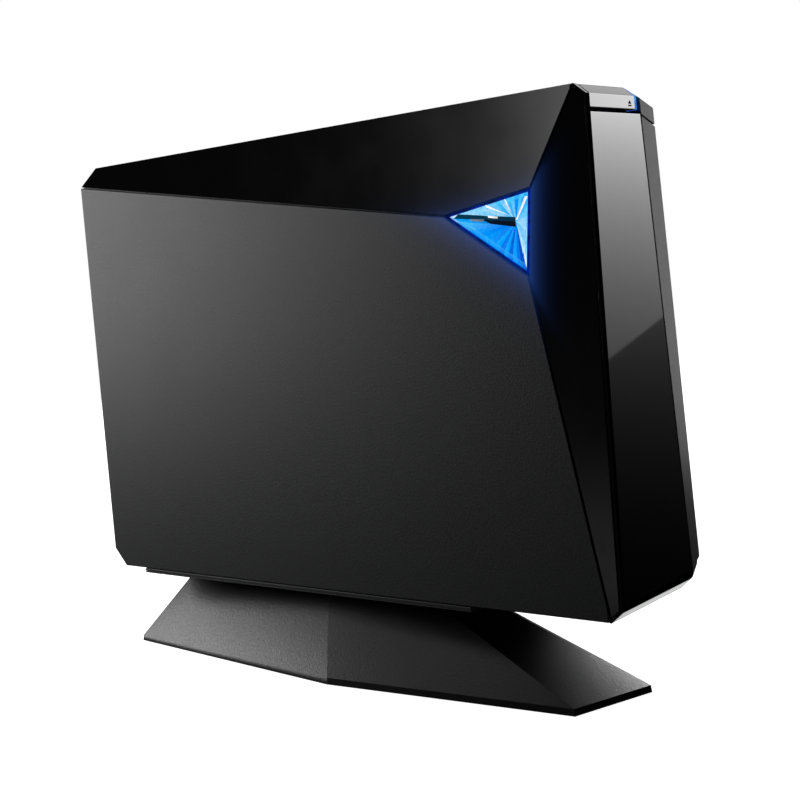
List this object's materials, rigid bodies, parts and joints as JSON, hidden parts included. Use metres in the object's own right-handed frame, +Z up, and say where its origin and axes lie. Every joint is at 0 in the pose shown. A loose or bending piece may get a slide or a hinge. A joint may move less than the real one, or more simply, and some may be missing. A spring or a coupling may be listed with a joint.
{
  "type": "external optical drive",
  "caption": "Faceted external optical drive standing on a wide low stand, with a front tray door, an eject button and a lit blue crystal in its side.",
  "frame": {"origin": "centre of the stand's footprint, on the surface it stands on", "axes": "+X from the rear to the front, where the tray comes out; +Y from the side with the crystal to the plain side; +Z up"},
  "size_m": [0.243, 0.0798, 0.1971],
  "materials": {
    "textured_black": "fine spark-eroded texture, matte",
    "gloss_black": "piano-black gloss",
    "satin_black": "satin",
    "inner_black": "moulded, matte",
    "white_plastic": "moulded, satin",
    "blue_crystal": "clear, lit blue from behind",
    "sheet_steel": "zinc-plated sheet",
    "bright_steel": "ground and polished",
    "rubber": "matte",
    "circuit_board": "green solder mask"
  },
  "bodies": {
    "housing": {"wrap_shell": "textured_black", "main_side_panel": "textured_black", "top_facet_cover": "gloss_black", "front_facet_cover": "satin_black", "crystal_rim": "blue_crystal", "crystal_lens": "blue_crystal", "crystal_reflector": "white_plastic", "light_board": "circuit_board", "right_cover": "textured_black", "side_foot_1": "rubber", "side_foot_2": "rubber", "side_foot_3": "rubber", "side_foot_4": "rubber", "front_frame": "satin_black", "light_strip": "blue_crystal", "front_board": "circuit_board", "eject_switch": "inner_black", "rear_panel": "textured_black", "rear_screw_1": "bright_steel", "rear_screw_2": "bright_steel", "usb_socket": "sheet_steel", "dc_socket": "inner_black", "bridge_board": "circuit_board", "drive_top_cover": "sheet_steel", "drive_bottom_cover": "sheet_steel", "drive_rail_lower": "inner_black", "drive_rail_upper": "inner_black", "loader_frame": "inner_black", "clamp_bridge": "sheet_steel", "loading_motor": "sheet_steel", "loading_belt": "rubber", "main_board": "circuit_board"},
    "tray": {"disc_tray": "inner_black", "tray_door": "gloss_black"},
    "tray_gear": {"tray_gear": "white_plastic"},
    "pulley_gear": {"pulley_gear": "white_plastic"},
    "motor_pulley": {"motor_pulley": "white_plastic"},
    "traverse": {"traverse_frame": "inner_black", "damper_1": "rubber", "damper_2": "rubber", "spindle_base": "sheet_steel", "guide_rod_lower": "bright_steel", "guide_rod_upper": "bright_steel", "sled_motor": "sheet_steel"},
    "spindle": {"spindle_rotor": "bright_steel"},
    "clamp": {"clamp_puck": "white_plastic"},
    "sled": {"pickup_sled": "inner_black"},
    "lead_screw": {"lead_screw": "bright_steel"},
    "lens": {"lens_holder": "inner_black", "objective_lens": "blue_crystal"},
    "eject_button": {"eject_button": "gloss_black"},
    "stand": {"stand_base": "textured_black", "stand_bottom_cover": "inner_black", "stand_top_plate": "satin_black", "stand_screw_1": "bright_steel", "stand_screw_2": "bright_steel", "stand_pad_1": "rubber", "stand_pad_2": "rubber", "stand_pad_3": "rubber", "stand_pad_4": "rubber"}
  },
  "joints": [
    {"name": "tray_slide", "type": "slide", "parent": "housing", "child": "tray", "axis": [1, 0, 0], "range_m": [0, 0.135]},
    {"name": "tray_gear_spin", "type": "hinge", "parent": "housing", "child": "tray_gear", "pos_m": [0.0975, -0.0045, 0.1581], "axis": [0, 1, 0], "range_deg": [0, 704.2]},
    {"name": "pulley_gear_spin", "type": "hinge", "parent": "housing", "child": "pulley_gear", "pos_m": [0.09032, -0.0025, 0.14269], "axis": [0, 1, 0], "range_deg": [-1290.2, 0]},
    {"name": "motor_pulley_spin", "type": "hinge", "parent": "housing", "child": "motor_pulley", "pos_m": [0.0925, 0.0005, 0.1161], "axis": [0, 1, 0], "range_deg": [-4029.6, 0]},
    {"name": "traverse_tilt", "type": "hinge", "parent": "housing", "child": "traverse", "pos_m": [-0.0415, -0.001, 0.1146], "axis": [0, 0, 1], "range_deg": [0, 3.6]},
    {"name": "spindle_spin", "type": "hinge", "parent": "traverse", "child": "spindle", "pos_m": [0.047, -0.0065, 0.1146], "axis": [0, 1, 0], "continuous": true},
    {"name": "clamp_spin", "type": "hinge", "parent": "housing", "child": "clamp", "pos_m": [0.047, -0.0165, 0.1146], "axis": [0, 1, 0], "continuous": true},
    {"name": "sled_slide", "type": "slide", "parent": "traverse", "child": "sled", "axis": [-1, 0, 0], "range_m": [0, 0.034]},
    {"name": "lead_screw_spin", "type": "hinge", "parent": "traverse", "child": "lead_screw", "pos_m": [-0.0015, 0.0031, 0.1446], "axis": [1, 0, 0], "range_deg": [0, 4081]},
    {"name": "lens_focus", "type": "slide", "parent": "sled", "child": "lens", "axis": [0, 1, 0], "range_m": [-0.0004, 0.0004], "stiffness_N_per_m": 20},
    {"name": "eject_press", "type": "slide", "parent": "housing", "child": "eject_button", "axis": [-1, 0, 0], "range_m": [0, 0.0008], "stiffness_N_per_m": 600},
    {"name": "stand_release", "type": "slide", "parent": "housing", "child": "stand", "axis": [1, 0, 0], "range_m": [-0.021, 0]}
  ],
  "couplings": [
    {"joint": "tray_gear_spin", "follows": "tray_slide", "rad_per_m": 90.909},
    {"joint": "pulley_gear_spin", "follows": "tray_slide", "rad_per_m": -166.67},
    {"joint": "motor_pulley_spin", "follows": "tray_slide", "rad_per_m": -520.83},
    {"joint": "traverse_tilt", "follows": "tray_slide", "rad_per_m": 0.4525},
    {"joint": "clamp_spin", "follows": "spindle_spin", "ratio": 1},
    {"joint": "lead_screw_spin", "follows": "sled_slide", "rad_per_m": 2094.4}
  ]
}
